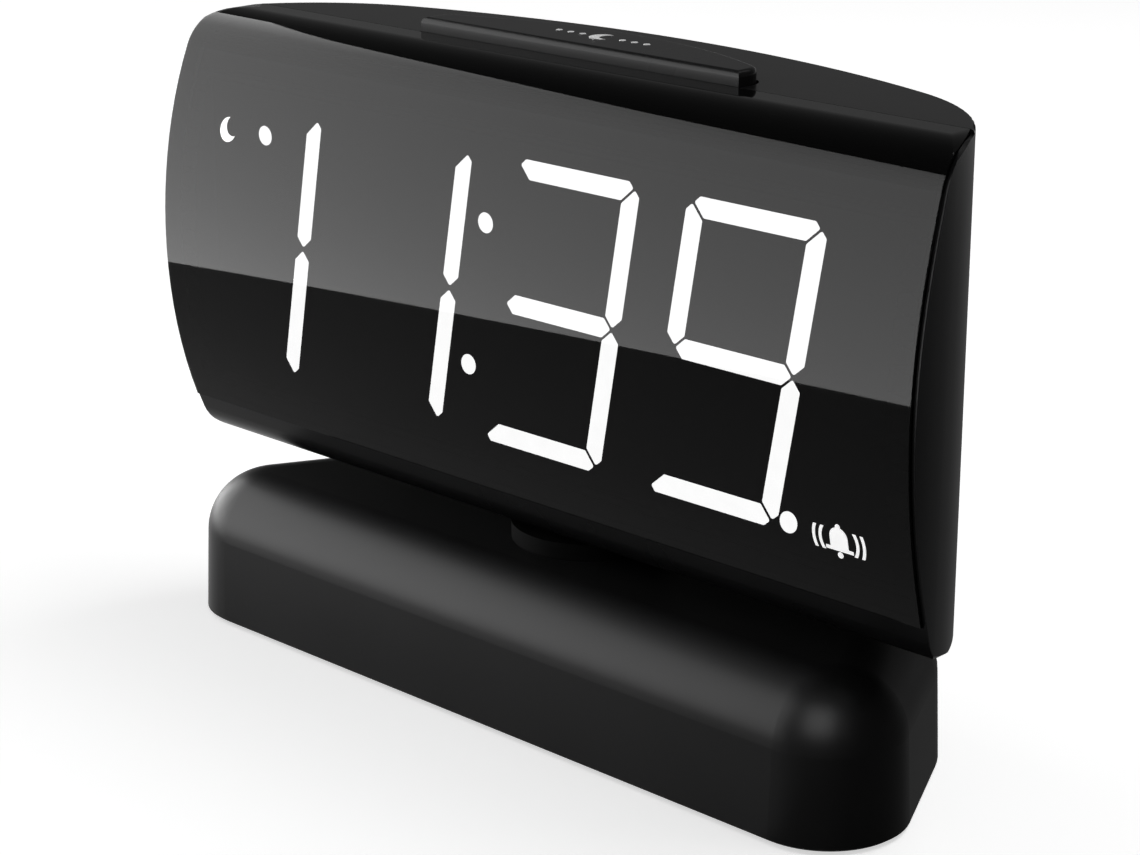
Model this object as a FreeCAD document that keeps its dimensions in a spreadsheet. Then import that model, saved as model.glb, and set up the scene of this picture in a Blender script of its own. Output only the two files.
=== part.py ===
# LED alarm clock: a display head with a curved front turns on a neck above a moulded, weighted base.
# Millimetres, +Z up, X across the front, the front faces -Y; the origin is on the floor under the base's centre.
import FreeCAD, Part
import math
import os
import re
from FreeCAD import Placement, Rotation, Vector

SIZES = [
    # head outline
    ("head_width", 152, "widest, across the two ends"),
    ("head_top", 97.2, "height of the deck"),
    ("face_y", -18.47, "most forward point of the curved face"),
    ("face_lift", -0.2, "height of that point above the head's middle"),
    ("face_radius", 85, "curve of the face, seen from the end"),
    ("top_roll", 8.5, "round from the face into the deck"),
    ("bottom_roll", 7, "round from the face into the underside"),
    ("head_rear", 22.6, "rearmost point of the bowed back"),
    ("end_radius", 36, "round of each end, seen from above"),
    ("end_y", -19.7, "centre of that round"),
    ("edge_round", 0.6, "round between the ends and the face, deck and underside"),
    ("elevation_round", 6, "corners of the head, seen from the front"),
    ("head_wall", 2.2, "wall of the rear shell"),
    # lens
    ("lens_thick", 2, ""),
    ("lens_gap", 0.15, "between the lens and the shell's rim"),
    ("lens_rim", 0.5, "shell's rim beside the lens's ends"),
    ("lens_rise", 7.3, "lens's lower edge above the underside"),
    ("lens_back", -1.0, "where the lens ends on the deck"),
    ("shelf_thick", 2, "shell shelf under the lens's rear edge"),
    ("rim_recess", 0.55, "the rim lies this far behind the lens"),
    ("print_thick", 0.08, "pad print on the lens"),
    # display
    ("window_side", 6, "window in the frame: from the head's ends"),
    ("window_rise", 11.8, "from the underside"),
    ("window_drop", 10.4, "from the deck"),
    ("mask_clear", 0.47, "from the lens to the mask at the window's edge"),
    ("mask_thick", 4.6, ""),
    ("mask_gap", 0.2, "mask to window"),
    ("digit_start", 10.4, "from the window's left side to the centre of the first numeral"),
    ("digit_lift", -0.1, "of the numerals' middle above the window's middle"),
    ("digit_margin", 2.28, "left above and below the numerals in the window"),
    ("digit_end", 29.85, "from the last numeral's centre to the window's right side"),
    ("digit_wide", 21.4, "between the centre lines of its side strokes"),
    ("digit_slant", 10, "degrees"),
    ("stroke", 3.15, "upright strokes, thick"),
    ("level_stroke", 2.92, "level strokes, thick"),
    ("stroke_gap", 0.45, "dark line between two strokes"),
    ("stroke_round", 0.35, ""),
    ("diffuser_thick", 3.2, ""),
    ("diffuser_gap", 0.04, "diffuser to mask, all round"),
    ("dot_radius", 1.55, ""),
    ("colon_half", 11.175, "half the distance between the colon's dots"),
    ("night_dot_side", 12.8, "upper dot from the window's left side"),
    ("night_dot_drop", 7.6, "and from its top"),
    ("night_mark_side", 9.1, "crescent, the same way"),
    ("night_mark_drop", 6.5, ""),
    ("alarm_dot_side", 3.515, "lower dot from the foot of the last numeral's right stroke"),
    ("alarm_dot_rise", 3.8, "and from its foot"),
    ("alarm_mark_side", 6.9, "bell from the window's right side"),
    ("alarm_mark_rise", 5.4, ""),
    ("led_thick", 1, ""),
    ("led_half", 0.8, ""),
    ("board_thick", 1.6, "every circuit board"),
    ("main_board_y", 1.1, "front of the main board"),
    ("main_board_side", 26, "from the head's ends"),
    ("main_board_rise", 10.6, "from the underside"),
    ("main_board_drop", 15.2, "from the deck"),
    ("spacer_radius", 2.5, ""),
    ("spacer_inset", 4, "from the board's edges"),
    ("leg_inset", 3, "button board's legs from its edges"),
    ("header_half", 13, ""),
    ("header_high", 3, ""),
    ("header_drop", 3, "from the board's upper edge"),
    ("clock_chip_side", 24, "its middle from the board's right edge"),
    ("clock_chip_rise", 10, "its middle above the board's lower edge"),
    ("clock_chip_half", 6, ""),
    ("clock_chip_thick", 2, ""),
    ("power_chip_side", 7.5, "from the board's left edge"),
    ("power_chip_rise", 15, ""),
    ("power_chip_half", 3.5, ""),
    ("power_chip_high_half", 3, ""),
    ("power_chip_thick", 2.2, ""),
    ("crystal_side", 12, "from the board's right edge"),
    ("crystal_rise", 12, "its lower end above the board's lower edge"),
    ("crystal_long", 8, ""),
    ("crystal_radius", 1.5, ""),
    ("capacitor_side", 7, "from the board's left edge"),
    ("capacitor_rise", 8, "the lower one above the board's lower edge"),
    ("capacitor_pitch", 20, ""),
    ("capacitor_radius", 3.2, ""),
    ("capacitor_high", 5.2, ""),
    # frame behind the lens
    ("frame_deep", 3.15, "back of the frame behind the mask's front"),
    ("post_radius", 2.6, "frame posts that take the shell screws"),
    ("post_side", 14, "from the head's ends"),
    ("post_rise", 9.2, "from the underside"),
    ("post_drop", 6.6, "from the deck"),
    ("post_end", -2.9, "where posts and shell bosses meet"),
    ("boss_radius", 3.5, "shell bosses"),
    ("boss_seat", 2.1, "where the screw heads seat"),
    ("shell_screw_bite", 4.5, "length of the shell screws in the posts"),
    # fasteners
    ("screw_radius", 1.25, ""),
    ("screw_head", 2.7, ""),
    ("screw_head_high", 1.5, ""),
    ("screw_clear", 0.35, "round a shank in its clearance hole"),
    ("head_clear", 0.2, "round a screw head"),
    ("driver_slot", 0.7, "width of the cross in a screw head"),
    # rear recess with the controls
    ("recess_y", 17.2, "its flat floor"),
    ("recess_side", 18, "from the head's ends"),
    ("recess_rise", 8.6, "from the underside"),
    ("recess_drop", 13.2, "from the deck"),
    ("recess_wall", 2, ""),
    ("button_radius", 3.5, ""),
    ("button_clear", 0.3, ""),
    ("button_proud", 1.5, ""),
    ("button_flange", 1.1, "the cap's flange stands out by this much"),
    ("button_x", -33, "first of four"),
    ("button_pitch", 12, ""),
    ("button_drop", 10, "from the recess's upper edge"),
    ("button_round", 0.4, ""),
    ("button_travel", 0.8, ""),
    ("flange_thick", 1.3, ""),
    ("flange_gap", 0.1, "flange to the inside of the wall"),
    ("switch_gap", 0.2, "left between a pressed cap and its switch"),
    ("slider_x", -29, "first of two, at its left stop"),
    ("slider_pitch", 24, ""),
    ("slider_lift", 1, "above the recess's middle"),
    ("slider_half", 2.5, ""),
    ("slider_high_half", 2, ""),
    ("slider_travel", 4, ""),
    ("slider_flange", 1.4, "the knob's plate stands out above and below by this much"),
    ("slider_lap", 1, "of that plate behind the wall at each end of its travel"),
    ("slider_body_half", 6, "slide switch"),
    ("slider_body_high_half", 3, ""),
    ("grip_wide", 0.5, "grooves in the knobs"),
    ("grip_deep", 0.4, ""),
    ("grip_pitch", 1.2, ""),
    ("edge_break", 0.3, "round of the knobs and the cell door"),
    ("switch_half", 2.6, "push switch"),
    ("switch_tip", 0.5, "its stem above its body"),
    ("switch_stem", 1.4, "radius"),
    ("button_board_y", 8.1, ""),
    ("button_board_edge", 6, "from the first button, the buttons' row and the sliders' row"),
    ("button_board_end", 5, "from the last button"),
    # cell compartment
    ("cell_x", 25, ""),
    ("cell_drop", 14, "from the recess's upper edge"),
    ("cell_radius", 10, ""),
    ("cell_thick", 3.2, ""),
    ("cell_clear", 0.25, ""),
    ("holder_half", 11.5, ""),
    ("holder_front", 9.7, ""),
    ("contact_radius", 3, ""),
    ("contact_thick", 0.3, ""),
    ("holder_pin_inset", 2, "from the holder's sides"),
    ("holder_pin_half", 1, ""),
    ("door_half", 12, ""),
    ("door_high_half", 11.6, ""),
    ("door_thick", 1.4, ""),
    ("door_gap", 0.12, "door to rails and floor"),
    ("rail_wide", 1.4, ""),
    ("rail_lip", 1, "lip over the door's edge"),
    ("door_groove", 0.8, "width of the finger grooves in the door"),
    ("door_groove_deep", 0.5, ""),
    ("door_groove_half", 5, ""),
    ("door_groove_pitch", 2, ""),
    ("door_groove_start", 3, "from the door's edge"),
    # jack and sounder
    ("jack_x", 0, ""),
    ("jack_rise", 9, "from the recess's lower edge"),
    ("jack_half", 4.8, ""),
    ("jack_nose", 4.2, "radius of its round nose"),
    ("jack_bore", 2.75, "radius"),
    ("jack_depth", 9, ""),
    ("jack_pin_radius", 1, ""),
    ("jack_pin_sunk", 1, "the pin ends this far inside the mouth"),
    ("buzzer_x", -25, ""),
    ("buzzer_rise", 10, "from the recess's lower edge"),
    ("buzzer_radius", 6.5, ""),
    ("buzzer_thick", 5.2, ""),
    ("sound_slot", 1.4, "width of each of five slots"),
    ("sound_pitch", 3.2, ""),
    ("sound_half", 4.5, ""),
    # snooze bar
    ("bar_half", 31.85, ""),
    ("bar_aside", 1.15, "its middle lies this far to the left of the head's"),
    ("bar_front", -0.8, ""),
    ("bar_depth", 12.1, ""),
    ("bar_proud", 2.2, "of the deck"),
    ("bar_end", 4.7, "depth of its ends, before the rear corners are rounded"),
    ("bar_corner", 3.5, "rear corners, seen from above"),
    ("bar_round", 0.9, "round of its upper edge"),
    ("bar_clear", 0.3, "bar to its opening"),
    ("bar_tab", 1.2, "tab under the deck stands out by this much"),
    ("bar_tab_thick", 1.2, ""),
    ("bar_tab_gap", 0.1, "tab to the deck's underside"),
    ("bar_travel", 1.2, ""),
    ("bar_leg_x", 22, ""),
    ("bar_leg_y", 4.5, ""),
    ("bar_leg_radius", 2, ""),
    ("spring_x", 12, ""),
    ("spring_radius", 2.4, ""),
    ("spring_wire", 0.25, "radius of the wire"),
    ("spring_turns", 5, ""),
    ("snooze_drop", 13, "underside of the snooze board below the deck"),
    ("snooze_board_half", 42, ""),
    ("snooze_board_deep", 4, "half its depth"),
    ("snooze_post_x", 38.5, ""),
    ("snooze_screw_long", 6, ""),
    ("snooze_switch_half", 3, ""),
    ("snooze_switch_high", 3, ""),
    ("snooze_stem_radius", 1.7, ""),
    ("snooze_stem_high", 3.6, "above the snooze board"),
    ("night_print_x", -1.1, "crescent on the bar"),
    ("night_print_y", 5.6, ""),
    ("night_print_radius", 2, ""),
    ("night_print_dot", 0.5, "radius of the dots beside it"),
    ("night_print_first", 4, "nearest dot from the crescent"),
    ("night_print_pitch", 2.4, ""),
    # swivel
    ("swivel_gap", 2.7, "between the base and the head"),
    ("pivot_y", 2.1, ""),
    ("neck_radius", 8, ""),
    ("neck_fit", 0.05, "radial, and under the head"),
    ("neck_bore", 5, ""),
    ("pad_half", 18, "thick patch in the head's floor"),
    ("pad_front", -6.4, ""),
    ("pad_rear", 12.1, ""),
    ("pad_thick", 3, ""),
    ("flange_half", 16.5, ""),
    ("flange_plate", 2, ""),
    ("neck_screw_x", 13, ""),
    ("neck_screw_front", -2.9, ""),
    ("neck_screw_rear", 8.6, ""),
    ("neck_screw_sink", 0.6, "of the screws into the head's floor"),
    ("flange_inset", 1, "flange plate from the patch's front and rear"),
    ("bush_wall", 2, ""),
    ("bush_flange", 2, "bush flange stands out by this much"),
    ("bush_sleeve", 7.5, "below the base's top"),
    ("retainer_radius", 12, ""),
    ("retainer_thick", 2, ""),
    ("retainer_screw_long", 4, "in the neck"),
    ("lug_reach", 15.8, ""),
    ("lug_half", 2.5, ""),
    ("stop_angle", 79, "degrees from straight back to each stop rib"),
    ("stop_half", 1.2, ""),
    ("stop_inner", 12.6, ""),
    ("stop_outer", 16, ""),
    ("stop_below", 0.5, "the ribs reach below the lug by this much"),
    # base
    ("base_half", 69.9, "half its length at the floor"),
    ("base_front", -23.55, ""),
    ("base_rear", 23.55, ""),
    ("base_top", 23.5, ""),
    ("base_foot", 0.8, "height of the shell's lower edge"),
    ("base_corner", 12.15, "front corners, seen from above"),
    ("base_back_corner", 22, "rear corners, seen from above"),
    ("base_taper", 29.7, "centre of a rear corner from the base's end"),
    ("base_round", 10, "round of the upper edge"),
    ("base_draft", 2.4, "degrees"),
    ("base_wall", 2.2, ""),
    ("plate_low", 0.3, "underside of the bottom plate"),
    ("plate_thick", 2, "plate inside the shell"),
    ("plate_inset", 0.7, "its lower rim from the shell's edge"),
    ("plate_gap", 0.1, "plate to shell wall"),
    ("foot_radius", 5, ""),
    ("foot_pocket", 1, ""),
    ("foot_front_side", 22.9, "from the base's end"),
    ("foot_front_in", 7.95, "from the base's front"),
    ("foot_rear_side", 33.9, ""),
    ("foot_rear_in", 8.95, "from the base's rear"),
    ("base_screw_front_side", 11, ""),
    ("base_screw_front_in", 11.65, ""),
    ("base_screw_rear_side", 23.9, ""),
    ("base_screw_rear_in", 11.95, ""),
    ("base_screw_long", 10, ""),
    ("ballast_side", 29.9, "from the base's ends"),
    ("ballast_depth_half", 13.5, ""),
    ("ballast_thick", 6, ""),
    ("ballast_screw_side", 15, "from the slab's ends"),
]

# Places and lengths that follow from those sizes.
FOLLOWING = {
    "head_bottom": "base_top + swivel_gap",
    "face_z": "(head_bottom + head_top) / 2 + face_lift",
    "lens_foot": "head_bottom + lens_rise",
    "window_half": "head_width / 2 - window_side",
    "window_low": "head_bottom + window_rise",
    "window_high": "head_top - window_drop",
    "window_middle": "(window_low + window_high) / 2",
    "window_reach": "max(window_high - face_z; face_z - window_low)",
    "mask_front": "face_y + face_radius - sqrt((face_radius - lens_thick)^2 - window_reach^2) + mask_clear",
    "mask_back": "mask_front + mask_thick",
    "frame_back": "mask_front + frame_deep",
    "digit_x": "digit_start - window_half",
    "digit_pitch": "(2 * window_half - digit_start - digit_end) / 3",
    "digit_z": "window_middle + digit_lift",
    "digit_high": "window_high - window_low - stroke - 2 * digit_margin",
    "last_foot_x": "digit_x + 3 * digit_pitch + digit_wide / 2 - digit_high / 2 * tan(digit_slant)",
    "main_board_half": "head_width / 2 - main_board_side",
    "main_board_low": "head_bottom + main_board_rise",
    "main_board_high": "head_top - main_board_drop",
    "board_back": "main_board_y + board_thick",
    "clock_chip_x": "main_board_half - clock_chip_side",
    "power_chip_x": "power_chip_side - main_board_half",
    "crystal_x": "main_board_half - crystal_side",
    "capacitor_x": "capacitor_side - main_board_half",
    "post_x": "head_width / 2 - post_side",
    "post_low": "head_bottom + post_rise",
    "post_high": "head_top - post_drop",
    "recess_half": "head_width / 2 - recess_side",
    "recess_low": "head_bottom + recess_rise",
    "recess_high": "head_top - recess_drop",
    "control_wall": "recess_y - recess_wall",
    "button_z": "recess_high - button_drop",
    "slider_z": "(recess_low + recess_high) / 2 + slider_lift",
    "button_board_left": "button_x - button_board_edge",
    "button_board_right": "button_x + 3 * button_pitch + button_board_end",
    "button_board_low": "slider_z - button_board_edge",
    "button_board_high": "button_z + button_board_edge",
    "cell_z": "recess_high - cell_drop",
    "jack_z": "recess_low + jack_rise",
    "buzzer_z": "recess_low + buzzer_rise",
    "bar_top": "head_top + bar_proud",
    "bar_low": "head_top - head_wall - bar_tab_gap",
    "snooze_board_z": "head_top - snooze_drop",
    "snooze_board_top": "snooze_board_z + board_thick",
    "snooze_tip": "snooze_board_top + snooze_stem_high",
    "head_floor": "head_bottom + head_wall",
    "retainer_top": "base_top - bush_sleeve - neck_fit",
    "retainer_low": "retainer_top - retainer_thick",
    "base_back_x": "base_half - base_taper",
    "ballast_half": "base_half - ballast_side",
    "ballast_screw_x": "ballast_half - ballast_screw_side",
    "foot_front_x": "base_half - foot_front_side",
    "foot_front_y": "base_front + foot_front_in",
    "foot_rear_x": "base_half - foot_rear_side",
    "foot_rear_y": "base_rear - foot_rear_in",
    "base_screw_front_x": "base_half - base_screw_front_side",
    "base_screw_front_y": "base_front + base_screw_front_in",
    "base_screw_rear_x": "base_half - base_screw_rear_side",
    "base_screw_rear_y": "base_rear - base_screw_rear_in",
    "screw_seat": "plate_low + screw_head_high",
}

doc = FreeCAD.newDocument("led_alarm_clock")
sheet = doc.addObject("Spreadsheet::Sheet", "sizes")
for row, (alias, number, meaning) in enumerate(SIZES, start=1):
    sheet.set(f"A{row}", alias)
    sheet.set(f"B{row}", str(number))
    sheet.set(f"C{row}", meaning)
    sheet.setAlias(f"B{row}", alias)
doc.recompute()
NAMES = {alias for alias, number, meaning in SIZES}
nodes = []


def rule(text):
    """Turns a rule over the sheet's aliases, and over what follows from them, into an expression."""
    def written(word):
        if word[0] in FOLLOWING:
            return f"({rule(FOLLOWING[word[0]])})"
        return f"sizes.{word[0]}" if word[0] in NAMES else word[0]
    return re.sub(r"[a-z_]+", written, str(text))


def size(text):
    """Value of such a rule, for shapes made directly."""
    return float(sheet.evalExpression(rule(text)))


# Helpers: each returns a document object whose sizes follow the sheet.
def block(x, y, z, name="block"):
    box = doc.addObject("Part::Box", name)
    for side, letter, (low, high) in zip(("Length", "Width", "Height"), "xyz", (x, y, z)):
        box.setExpression(side, rule(f"({high}) - ({low})"))
        box.setExpression(f"Placement.Base.{letter}", rule(low))
    return box


def rod(axis, centre, span, radius, name="rod"):
    """Cylinder along x, y or z; centre gives the two other coordinates in alphabetical order."""
    turn = {"x": Rotation(Vector(0, 1, 0), 90), "y": Rotation(Vector(1, 0, 0), -90), "z": Rotation()}[axis]
    cylinder = doc.addObject("Part::Cylinder", name)
    cylinder.Placement = Placement(Vector(), turn)
    cylinder.setExpression("Radius", rule(radius))
    cylinder.setExpression("Height", rule(f"({span[1]}) - ({span[0]})"))
    others = [letter for letter in "xyz" if letter != axis]
    for letter, where in zip([axis] + others, [span[0]] + list(centre)):
        cylinder.setExpression(f"Placement.Base.{letter}", rule(where))
    return cylinder


def feature(shape, name="shape"):
    thing = doc.addObject("Part::Feature", name)
    thing.Shape = shape
    return thing


def fuse(things, name="fuse"):
    joined = doc.addObject("Part::MultiFuse", name)
    joined.Shapes = things
    return joined


def overlap(things, name="overlap"):
    shared = doc.addObject("Part::MultiCommon", name)
    shared.Shapes = things
    return shared


def cut(base, tools, name="cut"):
    rest = doc.addObject("Part::Cut", name)
    rest.Base = base
    rest.Tool = tools[0] if len(tools) == 1 else fuse(tools)
    return rest


def group(things, name):
    several = doc.addObject("Part::Compound", name)
    several.Links = things
    return several


def rounded(base, radius, wanted, name="rounded"):
    """Rounds those edges of base that wanted picks."""
    doc.recompute()
    softened = doc.addObject("Part::Fillet", name)
    softened.Base = base
    width = size(radius)
    numbered = enumerate(base.Shape.Edges, start=1)
    softened.Edges = [(number, width, width) for number, edge in numbered if wanted(edge)]
    return softened


def behind(y):
    """Picks the edges that lie flat at this depth."""
    depth = size(y)
    return lambda edge: edge.BoundBox.YMin > depth - 0.01 and edge.BoundBox.YMax < depth + 0.01


def node(thing, name):
    """Marks a finished piece; its label names its file."""
    thing.Label = name
    nodes.append(thing)
    return thing


def screw(axis, centre, seat, end, outward):
    """Screw whose head stands outward (1 or -1) from its seat, with a cross for the driver."""
    top = f"({seat}) + ({outward}) * screw_head_high"
    low, high = (seat, top) if outward > 0 else (top, seat)
    tip, root = (end, seat) if outward > 0 else (seat, end)
    solid = fuse([rod(axis, centre, (low, high), "screw_head"), rod(axis, centre, (tip, root), "screw_radius")])
    cross = "0.6 * screw_head_high"
    depth = (f"({top}) - {cross}", top) if outward > 0 else (top, f"({top}) + {cross}")
    slots = []
    for first, second in (("0.65 * screw_head", "driver_slot / 2"), ("driver_slot / 2", "0.65 * screw_head")):
        across = [(f"({centre[0]}) - {first}", f"({centre[0]}) + {first}"),
                  (f"({centre[1]}) - {second}", f"({centre[1]}) + {second}")]
        limits = {letter: pair for letter, pair in zip([o for o in "xyz" if o != axis], across)}
        limits[axis] = depth
        slots.append(block(limits["x"], limits["y"], limits["z"]))
    return cut(solid, slots)


# Head outline: the end view cut by the view from above, with rounded edges.
def mirrored(point):
    return Vector(-point.x, point.y, point.z)


def head_profile(face):
    """End view taken in by face: curved front, rolls into deck and underside; reaches far behind the head."""
    radius = size("face_radius") - face
    centre_y = size("face_y + face_radius")
    centre_z = size("face_z")
    far = size("head_rear + end_radius")
    corners = []
    for roll, level, side in ((size("top_roll"), size("head_top") - face, 1),
                              (size("bottom_roll"), size("head_bottom") + face, -1)):
        roll = roll - face
        roll_z = level - side * roll
        roll_y = centre_y - math.sqrt((radius - roll) ** 2 - (roll_z - centre_z) ** 2)
        out = Vector(0, roll_y - centre_y, roll_z - centre_z).normalize()
        on_face = Vector(0, centre_y, centre_z) + out * radius
        middle = Vector(0, 0, side) + out
        on_roll = Vector(0, roll_y, roll_z) + middle.normalize() * roll
        corners.append((on_face, on_roll, Vector(0, roll_y, level)))
    (top_face, top_roll, deck), (low_face, low_roll, floor) = corners
    front = Vector(0, centre_y - radius, centre_z)
    rear_top = Vector(0, far, deck.z)
    rear_low = Vector(0, far, floor.z)
    edges = [
        Part.Arc(low_face, front, top_face).toShape(),
        Part.Arc(top_face, top_roll, deck).toShape(),
        Part.LineSegment(deck, rear_top).toShape(),
        Part.LineSegment(rear_top, rear_low).toShape(),
        Part.LineSegment(rear_low, floor).toShape(),
        Part.Arc(floor, low_roll, low_face).toShape(),
    ]
    half = size("head_width")
    solid = Part.Face(Part.Wire(edges)).extrude(Vector(2 * half, 0, 0))
    solid.translate(Vector(-half, 0, 0))
    return solid


def head_plan(side):
    """View from above taken in by side: bowed back with an arc at each end, open towards the front."""
    end_x = size("head_width / 2 - end_radius")
    end_y = size("end_y")
    end_radius = size("end_radius")
    reach = size("head_rear") - end_radius
    centre_y = (reach ** 2 - end_x ** 2 - end_y ** 2) / (2 * (reach - end_y))
    back_radius = size("head_rear") - centre_y
    end = Vector(end_x, end_y, 0)
    away = Vector(end_x, end_y - centre_y, 0).normalize()
    join = end + away * (end_radius - side)
    widest = end + Vector(end_radius - side, 0, 0)
    between = end + (away + Vector(1, 0, 0)).normalize() * (end_radius - side)
    rear = Vector(0, centre_y + back_radius - side, 0)
    front = Vector(widest.x, end_y - end_radius, 0)
    edges = [
        Part.LineSegment(front, widest).toShape(),
        Part.Arc(widest, between, join).toShape(),
        Part.Arc(join, rear, mirrored(join)).toShape(),
        Part.Arc(mirrored(join), mirrored(between), mirrored(widest)).toShape(),
        Part.LineSegment(mirrored(widest), mirrored(front)).toShape(),
        Part.LineSegment(mirrored(front), front).toShape(),
    ]
    return Part.Face(Part.Wire(edges)).extrude(Vector(0, 0, size("head_top + end_radius")))


def head_elevation(inset):
    """Front view taken in by inset: a rectangle with rounded corners, extruded through the head."""
    half = size("head_width / 2") - inset
    low = size("head_bottom") + inset
    high = size("head_top") - inset
    deep = size("head_width")
    solid = Part.makeBox(2 * half, 2 * deep, high - low, Vector(-half, -deep, low))
    corners = [e for e in solid.Edges if e.BoundBox.YLength > deep]
    return solid.makeFillet(size("elevation_round") - inset, corners)


def head_outline(face, side, rounded=0.0, cornered=True):
    """Solid head, its face, deck and underside taken in by face and its ends and back by side."""
    solid = head_profile(face).common(head_plan(side)).Solids[0]
    if rounded:
        solid = solid.makeFillet(rounded, [e for e in solid.Edges if not isinstance(e.Curve, Part.Line)])
    if cornered:
        solid = solid.common(head_elevation(face)).Solids[0]
    return solid


# Base outline, seen from above: straight front, slanted ends, rounded rear corners.
def base_wire(inset, z):
    front_x = size("base_half - base_corner")
    front = Vector(front_x, size("base_front + base_corner"), z)
    rear = Vector(size("base_back_x"), size("base_rear - base_back_corner"), z)
    front_radius = size("base_corner") - inset
    rear_radius = size("base_back_corner") - inset
    line = rear - front
    lean = math.atan2(line.y, line.x) - math.asin((rear_radius - front_radius) / line.Length)
    normal = Vector(math.sin(lean), -math.cos(lean), 0)
    nose = front + Vector(0, -front_radius, 0)
    nose_side = front + normal * front_radius
    nose_mid = front + (normal + Vector(0, -1, 0)).normalize() * front_radius
    tail_side = rear + normal * rear_radius
    tail = rear + Vector(0, rear_radius, 0)
    tail_mid = rear + (normal + Vector(0, 1, 0)).normalize() * rear_radius
    edges = [
        Part.LineSegment(mirrored(nose), nose).toShape(),
        Part.Arc(nose, nose_mid, nose_side).toShape(),
        Part.LineSegment(nose_side, tail_side).toShape(),
        Part.Arc(tail_side, tail_mid, tail).toShape(),
        Part.LineSegment(tail, mirrored(tail)).toShape(),
        Part.Arc(mirrored(tail), mirrored(tail_mid), mirrored(tail_side)).toShape(),
        Part.LineSegment(mirrored(tail_side), mirrored(nose_side)).toShape(),
        Part.Arc(mirrored(nose_side), mirrored(nose_mid), mirrored(nose)).toShape(),
    ]
    return Part.Wire(edges)


def base_outline(inset, low, high, rounded=0.0):
    """Drafted solid between two heights, its walls taken in by inset and its upper edge rounded."""
    slope = math.tan(math.radians(size("base_draft")))
    wires = [base_wire(inset + slope * z, z) for z in (low, high)]
    solid = Part.makeLoft(wires, True, True)
    if rounded:
        upper = [e for e in solid.Edges if abs(e.BoundBox.ZMin - high) < 0.01]
        solid = solid.makeFillet(rounded, upper)
    return solid


def make_base():
    wall = size("base_wall")
    outline = feature(base_outline(0, size("base_foot"), size("base_top"), size("base_round")))
    hollow = feature(base_outline(wall, 0, size("base_top") - wall, size("base_round") - wall))
    plate_top = "base_foot + plate_thick"
    ends = ("front", "rear")
    screws = [(f"{sign} * base_screw_{end}_x", f"base_screw_{end}_y") for end in ends for sign in (1, -1)]
    posts = [rod("z", at, (plate_top, "base_top"), "boss_radius") for at in screws]
    pilots = [rod("z", at, (plate_top, "screw_seat + base_screw_long + 1"), "screw_radius") for at in screws]
    ribs = []
    for sign in (1, -1):
        rib = block(("-stop_half", "stop_half"), ("stop_inner", "stop_outer"),
                    ("retainer_low - stop_below", "base_top"))
        turned = doc.addObject("Part::Compound", "turned_rib")
        turned.Links = [rib]
        turned.Placement = Placement(Vector(), Rotation())
        turned.setExpression("Placement.Base.y", rule("pivot_y"))
        turned.setExpression("Placement.Rotation.Angle", rule(f"{-sign} * stop_angle"))
        ribs.append(turned)
    inside = overlap([fuse(posts + ribs), outline])
    pivot = ("0", "pivot_y")
    pivot_hole = rod("z", pivot, ("base_top - bush_sleeve", "base_top"), "neck_radius + neck_fit + bush_wall")
    node(cut(fuse([cut(outline, [hollow]), inside]), pilots + [pivot_hole], "base_shell"), "base_shell")

    # Bottom plate: a thin lower rim set in from the shell's edge, and a thicker part inside the shell.
    rim = feature(base_outline(size("plate_inset"), size("plate_low"), size("base_foot")))
    inner = feature(base_outline(wall + size("plate_gap"), size("base_foot"), size(plate_top)))
    feet = [(f"{sign} * foot_{end}_x", f"foot_{end}_y") for end in ends for sign in (1, -1)]
    pockets = [rod("z", at, ("0", "plate_low + foot_pocket"), "foot_radius") for at in feet]
    ballast = [(f"{sign} * ballast_screw_x", "0") for sign in (1, -1)]
    holes = [rod("z", at, ("0", "base_top"), "screw_radius + screw_clear") for at in screws + ballast]
    sinks = [rod("z", at, ("0", "screw_seat"), "screw_head + head_clear") for at in screws + ballast]
    node(cut(fuse([rim, inner]), pockets + holes + sinks, "base_plate"), "base_plate")
    node(group([rod("z", at, ("0", "plate_low + foot_pocket"), "foot_radius") for at in feet], "rubber_feet"),
         "rubber_feet")
    fitted = [screw("z", at, "screw_seat", "screw_seat + base_screw_long", -1) for at in screws]
    node(group(fitted, "base_screws"), "base_screws")
    slab_top = f"{plate_top} + ballast_thick"
    slab = block(("-ballast_half", "ballast_half"), ("-ballast_depth_half", "ballast_depth_half"),
                 (plate_top, slab_top))
    slab_holes = [rod("z", at, (plate_top, slab_top), "screw_radius") for at in ballast]
    node(cut(slab, slab_holes, "ballast_weight"), "ballast_weight")
    node(group([screw("z", at, "screw_seat", f"{slab_top} - 1", -1) for at in ballast], "ballast_screws"),
         "ballast_screws")

    # Bush: the swivel's bearing, pressed into the base's top; its flange carries the head.
    sleeve = rod("z", pivot, ("base_top - bush_sleeve", "base_top"), "neck_radius + neck_fit + bush_wall")
    flange = rod("z", pivot, ("base_top", "head_bottom - neck_fit"),
                 "neck_radius + neck_fit + bush_wall + bush_flange")
    bore = rod("z", pivot, ("0", "head_bottom"), "neck_radius + neck_fit")
    node(cut(fuse([sleeve, flange]), [bore], "pivot_bush"), "pivot_bush")


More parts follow.
